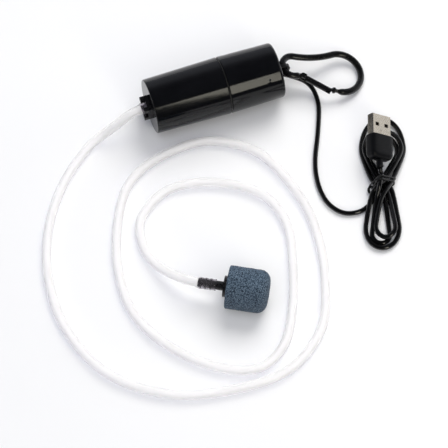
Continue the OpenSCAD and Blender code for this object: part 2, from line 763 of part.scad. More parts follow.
front_shell();
rear_shell();
seam_ring();
outlet_collar();
hang_eye();
cable_grommet();
inlet_filter();
pump_head();
valve_plate();
check_valves();
diaphragm();
cup_holder();
crank_case();
head_screws();
wobble_plate();
crank_wheel();
crank_pin();
motor_shaft();
motor_can();
motor_magnets();
shaft_bushing();
armature_core();
windings();
commutator();
brush_cap();
brushes();
terminals();
foam_sleeve();
inner_leads();
carabiner_frame();
carabiner_gate();
gate_pivot();
gate_spring();
air_tube();
stone_nozzle();
air_stone();
usb_lead();
usb_hank();
usb_tail();
twist_tie();
usb_strain_relief();
usb_overmould();
usb_shell();
usb_tongue();
usb_contacts();
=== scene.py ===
"""Looks of a small USB aquarium air pump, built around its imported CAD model.

Everything is in metres in the CAD model's own frame: the body lies along X on
the table, its air outlet faces -X, its cable and hook face +X, and +Z is up.
"""
import math

import bmesh
import bpy
import numpy as np
from mathutils import Matrix, Vector, noise


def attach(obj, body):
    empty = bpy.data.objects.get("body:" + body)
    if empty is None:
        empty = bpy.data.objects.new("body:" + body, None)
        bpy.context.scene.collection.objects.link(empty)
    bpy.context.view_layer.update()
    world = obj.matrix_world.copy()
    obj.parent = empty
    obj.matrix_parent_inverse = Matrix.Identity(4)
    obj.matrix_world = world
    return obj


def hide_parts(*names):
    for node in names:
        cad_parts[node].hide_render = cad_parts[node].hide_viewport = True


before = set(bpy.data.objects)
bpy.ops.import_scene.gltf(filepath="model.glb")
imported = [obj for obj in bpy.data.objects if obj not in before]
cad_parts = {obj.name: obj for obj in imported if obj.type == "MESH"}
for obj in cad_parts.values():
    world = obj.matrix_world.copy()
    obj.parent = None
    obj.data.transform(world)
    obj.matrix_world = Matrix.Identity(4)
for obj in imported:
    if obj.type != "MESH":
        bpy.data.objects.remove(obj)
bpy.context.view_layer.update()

MM = 0.001

# ---------- driving sizes, as in the CAD model ----------

AXIS_Z = 15.2 * MM
OUTLET = (-35.3 * MM, 0, AXIS_Z)
TUBE_D = 5 * MM
TUBE_BORE = 3 * MM
LEAD_D = 2.5 * MM
PLUG_HALF = (7, 6.4, 3.75)

TUBE_ROUTE = [
    (-0.0374, 0, 0.0152), (-0.045, -0.0005, 0.0144), (-0.054, -0.002, 0.0098),
    (-0.063, -0.003, 0.0042), (-0.072, -0.007, 0.0025), (-0.09, -0.023, 0.0025),
    (-0.105, -0.046, 0.0025), (-0.1135, -0.074, 0.0025), (-0.113, -0.104, 0.0025),
    (-0.101, -0.133, 0.0025), (-0.076, -0.1535, 0.0025), (-0.046, -0.1615, 0.0025),
    (-0.014, -0.1605, 0.0025), (0.009, -0.1445, 0.0025), (0.0195, -0.122, 0.0025),
    (0.025, -0.097, 0.0025), (0.0245, -0.07, 0.0025), (0.013, -0.0385, 0.0025),
    (-0.01, -0.0225, 0.0025), (-0.037, -0.0235, 0.0025), (-0.058, -0.034, 0.0025),
    (-0.071, -0.056, 0.0025), (-0.078, -0.08, 0.0025), (-0.078, -0.105, 0.0025),
    (-0.067, -0.128, 0.0025), (-0.047, -0.1475, 0.0025), (-0.027, -0.1545, 0.0025),
    (-0.011, -0.146, 0.0025), (0, -0.127, 0.0025), (0.008, -0.104, 0.0025),
    (0.0125, -0.081, 0.0025), (0.006, -0.061, 0.0025), (-0.014, -0.047, 0.0025),
    (-0.038, -0.043, 0.0025), (-0.057, -0.054, 0.0025), (-0.0615, -0.07, 0.0025),
    (-0.058, -0.084, 0.004), (-0.0505, -0.0955, 0.0082), (-0.043, -0.1028, 0.0112),
    (-0.0344, -0.1073, 0.0112),
]

LEAD_ROUTE = [
    (0.0326, 0, 0.0087), (0.038, 0, 0.0087), (0.044, -0.0035, 0.0076),
    (0.0485, -0.006, 0.0054), (0.0512, -0.01, 0.0034), (0.0518, -0.016, 0.0018),
    (0.051, -0.021, 0.0013), (0.0485, -0.028, 0.0013), (0.0443, -0.038, 0.0013),
    (0.0395, -0.0485, 0.0013), (0.0366, -0.058, 0.0013), (0.0356, -0.068, 0.0013),
    (0.0372, -0.077, 0.0013), (0.0425, -0.084, 0.0013), (0.05, -0.086, 0.0013),
    (0.056, -0.0845, 0.0013),
]
TAIL_ROUTE = [(0.0671, -0.0719, 0.0062), (0.0674, -0.0706, 0.0076), (0.0677, -0.069, 0.0087)]


def turned(axis, degrees):
    """Rotation about a frame axis as a 4x4 matrix."""
    return Matrix.Rotation(math.radians(degrees), 4, axis)


HOOK_PLANE = Matrix.Translation((38.35 * MM, 0, 14.4 * MM)) @ turned("Z", -18.2) @ turned("Y", 17)
HANK_FRAME = Matrix.Translation((66 * MM, -75 * MM, 0)) @ turned("Z", -18.5)
PLUG_FRAME = (Matrix.Translation((71 * MM, -58.4 * MM, 10.6 * MM)) @ turned("Z", -18.5)
              @ turned("X", 8) @ turned("Y", 36))
STONE_FRAME = Matrix.Translation((-29.4 * MM, -110 * MM, 11.2 * MM)) @ turned("Z", -28)

# ---------- camera ----------


def make_camera():
    """Camera two metres off, looking down at the table from a little left of the front."""
    azimuth, elevation = math.radians(-18.5), math.radians(62.5)
    back = Vector((math.sin(azimuth) * math.cos(elevation),
                   -math.cos(azimuth) * math.cos(elevation), math.sin(elevation)))
    data = bpy.data.cameras.new("camera")
    data.lens = 311.7
    data.sensor_width = 36
    data.clip_end = 20
    camera = bpy.data.objects.new("camera", data)
    bpy.context.scene.collection.objects.link(camera)
    camera.rotation_mode = "QUATERNION"
    camera.location = Vector((-0.0177, -0.0699, 0)) + back * 2
    camera.rotation_quaternion = (-back).to_track_quat("-Z", "Y")
    bpy.context.scene.camera = camera


make_camera()

# ---------- curves and meshes ----------


def eased(share):
    """A share from 0 to 1 with a gentle start and end."""
    return share * share * (3 - 2 * share)


def spline(points, per_span):
    """Smooth curve through points, with per_span steps from each one to the next."""
    p = np.array(points, float)
    p = np.vstack([2 * p[0] - p[1], p, 2 * p[-1] - p[-2]])
    out = []
    for a, b, c, d in zip(p, p[1:], p[2:], p[3:]):
        for t in np.arange(per_span) / per_span:
            out.append(0.5 * (2 * b + (c - a) * t + (2 * a - 5 * b + 4 * c - d) * t * t
                              + (3 * b - a - 3 * c + d) * t ** 3))
    return np.array(out + [p[-2]])


def lengths_along(line):
    """Distance along a line at each of its points."""
    return np.concatenate([[0], np.cumsum(np.linalg.norm(np.diff(line, axis=0), axis=1))])


def respaced(line, step):
    """The same line with even steps of about that length."""
    along = lengths_along(line)
    at = np.linspace(0, along[-1], max(2, round(along[-1] / step) + 1))
    return np.stack([np.interp(at, along, line[:, k]) for k in range(3)], axis=1)


def placed(points, matrix):
    """Points carried from a part's own frame into the shared frame."""
    m = np.array(matrix)
    return np.array(points, float) @ m[:3, :3].T + m[:3, 3]


def add_piece(name, vertices, faces, material, body="pump", smooth=True):
    """Mesh object that rides on a CAD body."""
    mesh = bpy.data.meshes.new(name)
    mesh.from_pydata([tuple(v) for v in vertices], [], faces)
    mesh.materials.append(material)
    mesh.polygons.foreach_set("use_smooth", [smooth] * len(mesh.polygons))
    mesh.update()
    piece = bpy.data.objects.new(name, mesh)
    bpy.context.scene.collection.objects.link(piece)
    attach(piece, body)
    return piece


def frames_along(line, up=(0, 0, 1)):
    """Side and top directions at each point of a line, carried along it without twist."""
    tangents = np.gradient(line, axis=0)
    tangents /= np.linalg.norm(tangents, axis=1)[:, None]
    top = np.array(up, float)
    sides, tops = [], []
    for t in tangents:
        top = top - t * (top @ t)
        top /= np.linalg.norm(top)
        sides.append(np.cross(t, top))
        tops.append(top)
    return np.array(sides), np.array(tops)


def tube_rings(line, across, thick, count, up=(0, 0, 1)):
    """Ring of points round each point of a line, with a radius across and a radius in thickness."""
    side, top = frames_along(line, up)
    angles = np.arange(count) * 2 * math.pi / count
    across, thick = (np.broadcast_to(r, len(line))[:, None, None] for r in (across, thick))
    rings = (line[:, None] - across * np.cos(angles)[None, :, None] * side[:, None]
             + thick * np.sin(angles)[None, :, None] * top[:, None])
    return rings.reshape(-1, 3)


def skin(rings, count, start=0, inward=False):
    """Faces that join rings of points, one after another."""
    faces = []
    for k in range(rings - 1):
        for j in range(count):
            a, b = start + k * count + j, start + k * count + (j + 1) % count
            quad = (a, b, b + count, a + count)
            faces.append(quad[::-1] if inward else quad)
    return faces


def solid_tube(line, across, thick, count, up=(0, 0, 1)):
    """Vertices and faces of a closed tube along a line, with flat ends."""
    vertices = tube_rings(line, across, thick, count, up)
    last = (len(line) - 1) * count
    faces = skin(len(line), count)
    faces += [tuple(range(count))[::-1], tuple(range(last, last + count))]
    return vertices, faces


def lathe(profile, count):
    """Vertices and faces of a closed turned shape, from (x, radius) points, about the X axis."""
    vertices = []
    for x, r in profile:
        for j in range(count):
            a = 2 * math.pi * j / count
            vertices.append((x, r * math.cos(a), r * math.sin(a)))
    faces = skin(len(profile), count)
    last = (len(profile) - 1) * count
    faces += [tuple(range(count))[::-1], tuple(range(last, last + count))]
    return np.array(vertices), faces


# ---------- materials ----------


class Look:
    """A node material: one Principled shader, with patterns for its colour, roughness and bump."""

    def __init__(self, name, colour, roughness, metallic=0.0, **sockets):
        self.material = bpy.data.materials.get(name) or bpy.data.materials.new(name)
        self.material.use_nodes = True
        self.tree = self.material.node_tree
        self.tree.nodes.clear()
        self.shader = self.tree.nodes.new("ShaderNodeBsdfPrincipled")
        self.surface = self.tree.nodes.new("ShaderNodeOutputMaterial").inputs["Surface"]
        self.link(self.shader.outputs["BSDF"], self.surface)
        values = {"Base Color": (*colour, 1), "Roughness": roughness, "Metallic": metallic, **sockets}
        for socket, value in values.items():
            self.shader.inputs[socket].default_value = value
        self.place = self.add("ShaderNodeTexCoord").outputs["Object"]

    def add(self, kind, **inputs):
        """New node, with values for its sockets."""
        node = self.tree.nodes.new(kind)
        for socket, value in inputs.items():
            node.inputs[socket.replace("_", " ")].default_value = value
        return node

    def link(self, output, socket):
        self.tree.links.new(output, socket)

    def stretched(self, stretch):
        """Object coordinates squeezed by a factor along each axis."""
        node = self.add("ShaderNodeMapping", Scale=stretch)
        self.link(self.place, node.inputs["Vector"])
        return node.outputs["Vector"]

    def grain(self, size, detail=4.0, stretch=(1, 1, 1)):
        """Soft noise with lumps of about the given size."""
        node = self.add("ShaderNodeTexNoise", Scale=1 / size, Detail=detail)
        self.link(self.stretched(stretch), node.inputs["Vector"])
        return node.outputs["Fac"]

    def cells(self, size, feature="F1"):
        """Cell pattern with cells of about the given size."""
        node = self.add("ShaderNodeTexVoronoi", Scale=1 / size)
        node.feature = feature
        self.link(self.place, node.inputs["Vector"])
        return node.outputs["Distance"]

    def bands(self, size, axis):
        """Even bands, one after another along an axis."""
        node = self.add("ShaderNodeTexWave", Scale=0.5 / size)
        node.bands_direction = axis
        self.link(self.place, node.inputs["Vector"])
        return node.outputs["Fac"]

    def ramp(self, fac, stops):
        """Colours at places along a pattern."""
        node = self.add("ShaderNodeValToRGB")
        for k, (place, colour) in enumerate(stops):
            element = node.color_ramp.elements[k] if k < 2 else node.color_ramp.elements.new(place)
            element.position = place
            element.color = (*colour, 1)
        self.link(fac, node.inputs["Fac"])
        return node.outputs["Color"]

    def colour(self, fac, *stops):
        """Colours the surface along a pattern."""
        self.link(self.ramp(fac, stops), self.shader.inputs["Base Color"])
        return self

    def rough(self, fac, low, high):
        """Lets roughness run between two values along a pattern."""
        node = self.add("ShaderNodeMapRange", From_Min=0.3, From_Max=0.7, To_Min=low, To_Max=high)
        self.link(fac, node.inputs["Value"])
        self.link(node.outputs["Result"], self.shader.inputs["Roughness"])
        return self

    def bump(self, fac, height):
        """Adds relief of the given height to what is there already."""
        node = self.add("ShaderNodeBump", Strength=1.0, Distance=height)
        socket = self.shader.inputs["Normal"]
        if socket.is_linked:
            self.link(socket.links[0].from_socket, node.inputs["Normal"])
        self.link(fac, node.inputs["Height"])
        self.link(node.outputs["Normal"], socket)
        return self

    def pass_light(self, colour):
        """Lets light from lamps straight through, tinted once at each surface."""
        mix = self.add("ShaderNodeMixShader")
        clear = self.add("ShaderNodeBsdfTransparent", Color=(*colour, 1))
        self.link(self.add("ShaderNodeLightPath").outputs["Is Shadow Ray"], mix.inputs[0])
        self.link(self.shader.outputs["BSDF"], mix.inputs[1])
        self.link(clear.outputs["BSDF"], mix.inputs[2])
        self.link(mix.outputs["Shader"], self.surface)
        return self


def tones(colour, spread, low=0.3, high=0.7):
    """Two stops, a little darker and a little lighter than a colour."""
    return ((low, tuple(c * (1 - spread) for c in colour)), (high, tuple(c * (1 + spread) for c in colour)))


def moulded(name, colour, roughness, texture=0.25 * MM, relief=0.004 * MM, spread=0.15, **sockets):
    """Moulded plastic with a faint grain and uneven gloss."""
    look = Look(name, colour, roughness, **sockets)
    look.colour(look.grain(6 * MM), *tones(colour, spread))
    look.rough(look.grain(1.5 * MM, 6), roughness * 0.75, roughness * 1.3)
    return look.bump(look.grain(texture, 3), relief)


def rubber(name, colour):
    """Dull soft rubber."""
    look = moulded(name, colour, 0.62, texture=0.12 * MM, relief=0.01 * MM)
    look.shader.inputs["Sheen Weight"].default_value = 0.15
    return look


def worked_metal(name, colour, roughness, stretch=(1, 12, 12), relief=0.003 * MM):
    """Metal with fine drawn or turned lines."""
    look = Look(name, colour, roughness, metallic=1.0)
    look.colour(look.grain(3 * MM, 5), *tones(colour, 0.12))
    look.rough(look.grain(1.2 * MM, 8, stretch), roughness * 0.6, roughness * 1.5)
    return look.bump(look.grain(0.8 * MM, 8, stretch), relief)


def nickel_plate():
    """Bright plated sheet, a little warm, with a fine rolled grain."""
    nickel = (0.53, 0.49, 0.42)
    look = Look("plug_steel", nickel, 0.26, metallic=1.0)
    look.colour(look.grain(2.5 * MM, 4), *tones(nickel, 0.05))
    look.rough(look.grain(0.7 * MM, 6, (1, 1, 4)), 0.22, 0.32)
    return look.bump(look.grain(0.3 * MM, 3), 0.001 * MM)


def gloss_shell():
    """Polished black plastic, slightly wavy, with hairline scratches."""
    black = (0.0034, 0.0036, 0.0045)
    look = Look("shell_plastic", black, 0.1, IOR=1.33)
    look.colour(look.grain(9 * MM), *tones(black, 0.25))
    look.rough(look.grain(2.2 * MM, 8, (1, 5, 5)), 0.045, 0.15)
    look.bump(look.grain(9 * MM, 2, (0.6, 1, 1)), 0.03 * MM)
    look.bump(look.grain(0.35 * MM, 2), 0.0006 * MM)
    return look.bump(look.grain(0.5 * MM, 6, (0.06, 1, 1)), 0.0008 * MM)


def clear_silicone():
    """Clear, faintly milky tube."""
    look = Look("clear_silicone", (0.99, 0.985, 0.98), 0.05, **{"Transmission Weight": 0.62, "IOR": 1.3})
    look.colour(look.grain(40 * MM, 2), *tones((0.98, 0.975, 0.97), 0.01))
    look.rough(look.grain(60 * MM, 2), 0.04, 0.06)
    return look.pass_light((0.8, 0.8, 0.83))


def grip_silicone():
    """The tube where it is stretched clear over the barb."""
    look = Look("grip_silicone", (0.5, 0.47, 0.51), 0.12, **{"Transmission Weight": 0.95, "IOR": 1.4})
    look.rough(look.grain(3 * MM, 4), 0.08, 0.2)
    return look.pass_light((0.7, 0.7, 0.72))


def spring_in_painted_shade():
    """Dull spring steel behind the plug's windows, coloured dark brown as painted shade from inside the
    windows.
    """
    # the near-black brown is painted shade of the windows' insides, standing in for the steel's own colour
    painted_window_shade = (0.03, 0.022, 0.015)
    look = Look("spring_in_painted_shade", painted_window_shade, 0.5, metallic=0.6)
    look.colour(look.grain(1.5 * MM, 4), *tones(painted_window_shade, 0.5))
    return look.rough(look.grain(0.6 * MM, 4), 0.35, 0.6)


def stone_grit():
    """Fused mineral grains, blue-grey, paler at each grain's middle, with painted shade in the gaps between
    grains.
    """
    look = Look("stone_grit", (0.12, 0.17, 0.23), 0.85)
    # colour runs from pale at each grain's middle to near black at its edge: painted shade in the gaps
    # between grains
    look.colour(look.cells(0.62 * MM), (0.0, (0.42, 0.52, 0.62)), (0.22, (0.12, 0.168, 0.225)),
                (0.52, (0.055, 0.085, 0.122)), (0.85, (0.012, 0.018, 0.03)))
    return look.bump(look.grain(0.25 * MM, 6), 0.12 * MM)


def foam():
    """Open-cell foam sleeve, with painted shade in its pores."""
    look = Look("foam", (0.06, 0.065, 0.07), 0.95)
    cells = look.cells(0.7 * MM)
    # darkest in the middle of each cell, where the bump has its pits: painted shade in the foam's pores
    look.colour(cells, (0.0, (0.015, 0.016, 0.018)), (0.7, (0.11, 0.115, 0.125)))
    return look.bump(cells, 0.25 * MM)


def felt(name, colour):
    """Matted fibres."""
    look = Look(name, colour, 0.95)
    look.colour(look.grain(0.4 * MM, 8, (1, 3, 1)), *tones(colour, 0.35))
    return look.bump(look.grain(0.25 * MM, 8, (1, 3, 1)), 0.1 * MM)


def banded_metal(name, colour, roughness, pitch, depth, axis="X"):
    """Metal with even grooves, as on stacked laminations, wound wire or a slotted ring."""
    look = Look(name, colour, roughness, metallic=1.0)
    bands = look.bands(pitch, axis)
    # colour darkens to a third in each groove: painted shade between wound wire turns, and the real dark
    # joints of stacked laminations
    look.colour(bands, (0.0, tuple(c * 0.35 for c in colour)), (0.45, colour))
    look.rough(look.grain(1 * MM, 6), roughness * 0.7, roughness * 1.3)
    return look.bump(bands, depth)


def hook_paint():
    """Satin black enamel on wire, with small thin spots."""
    black = (0.0026, 0.0026, 0.0028)
    look = Look("hook_paint", black, 0.22)
    look.colour(look.grain(1.2 * MM, 8), (0.3, black), (0.72, (0.004, 0.004, 0.0042)),
                (0.8, (0.02, 0.02, 0.021)))
    look.rough(look.grain(1.6 * MM, 6), 0.14, 0.3)
    return look.bump(look.grain(1.1 * MM, 5), 0.012 * MM)


def lead_jacket():
    """Soft black vinyl jacket."""
    black = (0.0022, 0.0022, 0.0024)
    look = Look("lead_jacket", black, 0.26)
    look.colour(look.grain(4 * MM), *tones(black, 0.3))
    look.rough(look.grain(6 * MM, 3), 0.1, 0.18)
    return look.bump(look.grain(5 * MM, 2), 0.02 * MM)


LOOKS = {
    "shell_plastic": gloss_shell(),
    "collar_plastic": moulded("collar_plastic", (0.006, 0.006, 0.0065), 0.3),
    "seam_rubber": rubber("seam_rubber", (0.004, 0.004, 0.004)),
    "filter_felt": felt("filter_felt", (0.3, 0.35, 0.4)),
    "works_plastic": moulded("works_plastic", (0.55, 0.56, 0.6), 0.4),
    "valve_plastic": moulded("valve_plastic", (0.68, 0.64, 0.52), 0.42),
    "valve_rubber": rubber("valve_rubber", (0.42, 0.04, 0.02)),
    "diaphragm_rubber": rubber("diaphragm_rubber", (0.04, 0.045, 0.052)),
    "plated_steel": worked_metal("plated_steel", (0.58, 0.59, 0.61), 0.25),
    "can_steel": worked_metal("can_steel", (0.48, 0.49, 0.51), 0.3, (12, 1, 1)),
    "magnet_ferrite": moulded("magnet_ferrite", (0.035, 0.035, 0.037), 0.7, 0.15 * MM, 0.02 * MM, 0.3),
    "bronze": worked_metal("bronze", (0.55, 0.35, 0.13), 0.38),
    "cap_plastic": moulded("cap_plastic", (0.76, 0.73, 0.64), 0.45),
    "brush_carbon": moulded("brush_carbon", (0.03, 0.028, 0.026), 0.6, 0.1 * MM, 0.02 * MM, 0.3),
    "tin_brass": worked_metal("tin_brass", (0.66, 0.5, 0.2), 0.3),
    "foam": foam(),
    "lead_jacket": lead_jacket(),
    "clear_silicone": clear_silicone(),
    "nozzle_plastic": moulded("nozzle_plastic", (0.008, 0.008, 0.009), 0.3),
    "stone_grit": stone_grit(),
    "tie_plastic": moulded("tie_plastic", (0.006, 0.006, 0.006), 0.3, 0.2 * MM, 0.006 * MM),
    "plug_plastic": moulded("plug_plastic", (0.0035, 0.0037, 0.0045), 0.36, 0.16 * MM, 0.006 * MM,
                            **{"Specular IOR Level": 0.16}),
    "plug_steel": nickel_plate(),
    "tongue_plastic": moulded("tongue_plastic", (0.8, 0.8, 0.78), 0.4),
    "gold_contacts": worked_metal("gold_contacts", (0.85, 0.6, 0.2), 0.22),
    "hook_paint": hook_paint(),
    "shaft_steel": worked_metal("shaft_steel", (0.62, 0.63, 0.65), 0.18),
    "core_steel": banded_metal("core_steel", (0.35, 0.36, 0.38), 0.4, 0.5 * MM, 0.04 * MM),
    "copper_wire": banded_metal("copper_wire", (0.62, 0.22, 0.07), 0.3, 0.3 * MM, 0.1 * MM, "Y"),
    "copper_bars": worked_metal("copper_bars", (0.75, 0.36, 0.17), 0.28),
    "crank_plastic": moulded("crank_plastic", (0.07, 0.072, 0.078), 0.4),
}


# ---------- air line ----------


def tube_line():
    """Centre of the air tube, begun on the outlet nozzle and kept off the table."""
    points = [OUTLET] + TUBE_ROUTE
    line = respaced(spline(points, 24), 0.9 * MM)
    line[:, 2] = np.maximum(line[:, 2], TUBE_D / 2)
    return line


def tube_radii(line):
    """Outer and inner radius of the tube, stretched where it grips the nozzle and the barb."""
    along = lengths_along(line)
    from_end = along[-1] - along
    nozzle = np.clip((7 * MM - along) / (3.5 * MM), 0, 1)
    barb = np.clip((11 * MM - from_end) / (2.5 * MM), 0, 1)
    ripple = 0.5 + 0.5 * np.cos(from_end / (2.6 * MM) * 2 * math.pi)
    nozzle = 0.45 * MM * eased(nozzle)
    barb = (0.3 + 0.25 * ripple) * MM * eased(barb)
    inner = TUBE_BORE / 2 + nozzle * 1.4 - 0.12 * MM * np.clip(barb / (0.3 * MM), 0, 1)
    return TUBE_D / 2 + nozzle + barb, inner


def make_air_tube():
    """Hollow clear tube from the pump's outlet to the air stone."""
    line = tube_line()
    outer, inner = tube_radii(line)
    count = 48
    rings = [tube_rings(line, r, r, count) for r in (outer, inner)]
    total = len(line) * count
    faces = skin(len(line), count) + skin(len(line), count, total, inward=True)
    for start in (0, (len(line) - 1) * count):
        for j in range(count):
            a, b = start + j, start + (j + 1) % count
            quad = (a, a + total, b + total, b)
            faces.append(quad if start == 0 else quad[::-1])
    tube = add_piece("air_tube_clear", np.vstack(rings), faces, LOOKS["clear_silicone"].material)
    tube.data.materials.append(grip_silicone().material)
    along = lengths_along(line)
    on_nozzle, on_barb = 4.4 * MM, 9.4 * MM
    for face in tube.data.polygons:
        ring = min(face.vertices) % total // count
        if along[ring] < on_nozzle or along[-1] - along[ring] < on_barb:
            face.material_index = 1
    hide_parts("air_tube")


# ---------- USB lead ----------

# Lobes of the hank's turns, in millimetres in the hank frame: right and left edge, where the lobe
# is widest, its far end, and its height at its edges
UPPER_LOBES = [(9.2, -7.1, 20, 30, 1.25), (10.9, -8.1, 20, 31, 3.7), (12.2, -9.3, 22, 39.4, 1.25)]
LOWER_LOBES = [(9.6, -7.8, -25, -36.3, 1.25), (7.4, -3.2, -26, -31.4, 3.4), (3.9, -5.6, -29, -33.8, 1.25)]
# Ways through the tie, from one point to another; strands beside them are shifted to their right
UNDER_WAY = ((-2.6, 5.5), (3.9, -4.4))
OVER_WAY = ((-4.8, -7.2), (3.4, 3.5))
UNDER_SHIFTS = [(-2.6, -2.6), (0, 0), (2.6, 2.6)]
OVER_SHIFTS = [(0, 0.1), (5.3, 2.75), (2.5, -3.9)]
OVER_HEIGHTS = [(3.8, 6.2, 4.4), (3.8, 3.8, 2.2), (3.8, 8.4, 7)]
STRAND_STEP = 1.1 * MM


def lobe(right, left, wide, far, height):
    """Points round one lobe of the hank, from its right edge over its far end to its left edge."""
    middle, half = (right + left) / 2, (right - left) / 2
    low = LEAD_D / MM / 2
    return [(middle + half * math.cos(a), wide + (far - wide) * math.sin(a),
             low + (height - low) * abs(math.cos(a))) for a in np.radians(np.linspace(-12, 192, 12))]


def way_points(way, shifts, heights):
    """Three points of a strand that runs along a way through the tie."""
    start, end = (np.array(point, float) for point in way)
    along = (end - start) / np.linalg.norm(end - start)
    right = np.array([along[1], -along[0]])
    points = []
    for t, height in zip((0, 0.5, 1), heights):
        x, y = start + (end - start) * t + right * (shifts[0] * (1 - t) + shifts[1] * t)
        points.append((x, y, height))
    return points


def hank_route():
    """Route of the lead through the turns of the hank before it settles, in the hank frame."""
    points = way_points(OVER_WAY, (1.6, -1.2), (1.25, 3.8, 2.4))
    for k in range(3):
        points += lobe(*UPPER_LOBES[k])
        points += way_points(UNDER_WAY, UNDER_SHIFTS[k], (1.25, 1.25, 1.25))
        points += lobe(*LOWER_LOBES[k])
        points += way_points(OVER_WAY, OVER_SHIFTS[k], OVER_HEIGHTS[k])
    return [(x * MM, y * MM, z * MM) for x, y, z in points]


def relaxed(values, reach, share):
    """Values moved by a share towards the mean of their neighbours at a distance."""
    out = values.copy()
    out[reach:-reach] += share * ((values[:-2 * reach] + values[2 * reach:]) / 2 - values[reach:-reach])
    return out


def settle(line, held, rounds):
    """Line of a lead whose strands have pushed each other apart and lie on the table and on the tie.

    The points numbered in held stay in place, and neighbours along the lead don't push each other.
    """
    moved = np.zeros_like(line)
    neighbours = 4
    into_plug = np.array(PLUG_FRAME.inverted() @ HANK_FRAME)
    plug_half = np.array(PLUG_HALF) * MM + LEAD_D / 2
    for step in range(rounds):
        p = line + moved
        if step % 8 == 0:
            gap = np.linalg.norm(p[:, None] - p[None], axis=2)
            i, j = np.nonzero(np.triu(gap < 1.8 * LEAD_D, neighbours))
        away = p[j] - p[i]
        far = np.maximum(np.linalg.norm(away, axis=1), 1e-7)
        press = np.maximum(0, 1.01 * LEAD_D - far)
        move = away / far[:, None] * (0.3 * press)[:, None]
        push = np.zeros_like(p)
        np.add.at(push, j, move)
        np.add.at(push, i, -move)
        moved += np.clip(push, -0.4 * MM, 0.4 * MM)
        for reach, share in ((1, 0.4), (3, 0.2)):
            moved = relaxed(moved, reach, share)
        p = line + moved
        q = p @ into_plug[:3, :3].T + into_plug[:3, 3]
        p[(np.abs(q) < plug_half).all(1), 2] -= 0.15 * MM
        floor = LEAD_D / 2 + 0.9 * MM * np.exp(-(np.hypot(p[:, 0], p[:, 1]) / (6 * MM)) ** 2)
        p[:, 2] = np.maximum(p[:, 2], floor)
        moved = p - line
        moved[held] = 0
    return line + moved


def lead_line():
    """Centre of the whole USB lead, from the grommet through the hank to the plug, in the hank frame."""
    to_hank = HANK_FRAME.inverted()
    lead, tail = placed(LEAD_ROUTE, to_hank), placed(TAIL_ROUTE, to_hank)
    line = respaced(spline(np.vstack([lead, hank_route(), tail]), 12), STRAND_STEP)
    for _ in range(6):
        line = relaxed(line, 1, 0.5)
    line[:, 2] = np.maximum(line[:, 2], LEAD_D / 2)
    along = lengths_along(line)
    lead_length = lengths_along(spline(lead, 12))[-1] - 2 * MM
    held = np.nonzero((along < lead_length) | (along > along[-1] - 3 * MM))[0]
    return spline(settle(line, held, 320), 3)


def make_usb_cable(line):
    """The USB lead as one cord, with its hank."""
    data = bpy.data.curves.new("usb_cable", "CURVE")
    data.dimensions = "3D"
    data.bevel_depth = LEAD_D / 2
    data.bevel_resolution = 5
    data.use_fill_caps = True
    path = data.splines.new("POLY")
    path.points.add(len(line) - 1)
    path.points.foreach_set("co", np.column_stack([line, np.ones(len(line))]).ravel())
    path.use_smooth = True
    data.materials.append(LOOKS["lead_jacket"].material)
    cable = bpy.data.objects.new("usb_cable", data)
    bpy.context.scene.collection.objects.link(cable)
    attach(cable, "pump")
    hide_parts("usb_lead", "usb_hank", "usb_tail")


def make_plug_body():
    """Moulded grip of the plug: a block with generous corners, softer at its back than at its front."""
    half_width, half_length, half_height = PLUG_HALF
    back_edge, front_edge = 3.2, 0.8
    vertices, faces = [], []
    count, corner = 56, 0.42
    stations = [-half_length + back_edge * (1 - math.cos(a)) for a in np.radians(np.linspace(3, 90, 14))]
    stations += list(np.linspace(-half_length + back_edge, half_length - front_edge, 10))[1:]
    stations += [half_length - front_edge * (1 - math.sin(a)) for a in np.radians(np.linspace(8, 87, 9))]
    for y in stations:
        back = min((y + half_length) / back_edge, 1)
        front = min((half_length - y) / front_edge, 1)
        inset = 2.1 * (1 - math.sqrt(1 - (1 - back) ** 2))
        inset += front_edge * (1 - math.sqrt(1 - (1 - front) ** 2))
        for a in np.linspace(0, 2 * math.pi, count, endpoint=False):
            across, up = math.cos(a), math.sin(a)
            x = math.copysign(abs(across) ** corner, across) * (half_width - inset)
            z = math.copysign(abs(up) ** corner, up) * (half_height - 0.75 * inset)
            vertices.append((x * MM, y * MM, z * MM))
    faces = skin(len(stations), count, inward=True)
    last = (len(stations) - 1) * count
    faces.append(tuple(range(count)))
    faces.append(tuple(reversed(range(last, last + count))))
    body = add_piece("usb_plug_body", placed(vertices, PLUG_FRAME), faces, LOOKS["plug_plastic"].material)
    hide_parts("usb_overmould")


def make_plug_springs():
    """Sprung leaves pressed in behind the four windows of the plug's shell."""
    vertices, faces = [], []
    for side in (-1, 1):
        for face in (-1, 1):
            start = len(vertices)
            for k in range(7):
                y = 9.6 + k * 0.72
                sag = 0.35 * math.sin(k / 6 * math.pi)
                for x in (side * 2.9 - 1.5, side * 2.9 + 1.5):
                    vertices.append((x * MM, y * MM, face * (1.6 - 0.25 * k / 6 - sag) * MM))
            quads = [(a, a + 1, a + 3, a + 2) for a in range(start, start + 12, 2)]
            faces += quads if face > 0 else [q[::-1] for q in quads]
    springs = add_piece("usb_leaf_springs", placed(vertices, PLUG_FRAME), faces, spring_in_painted_shade().material)


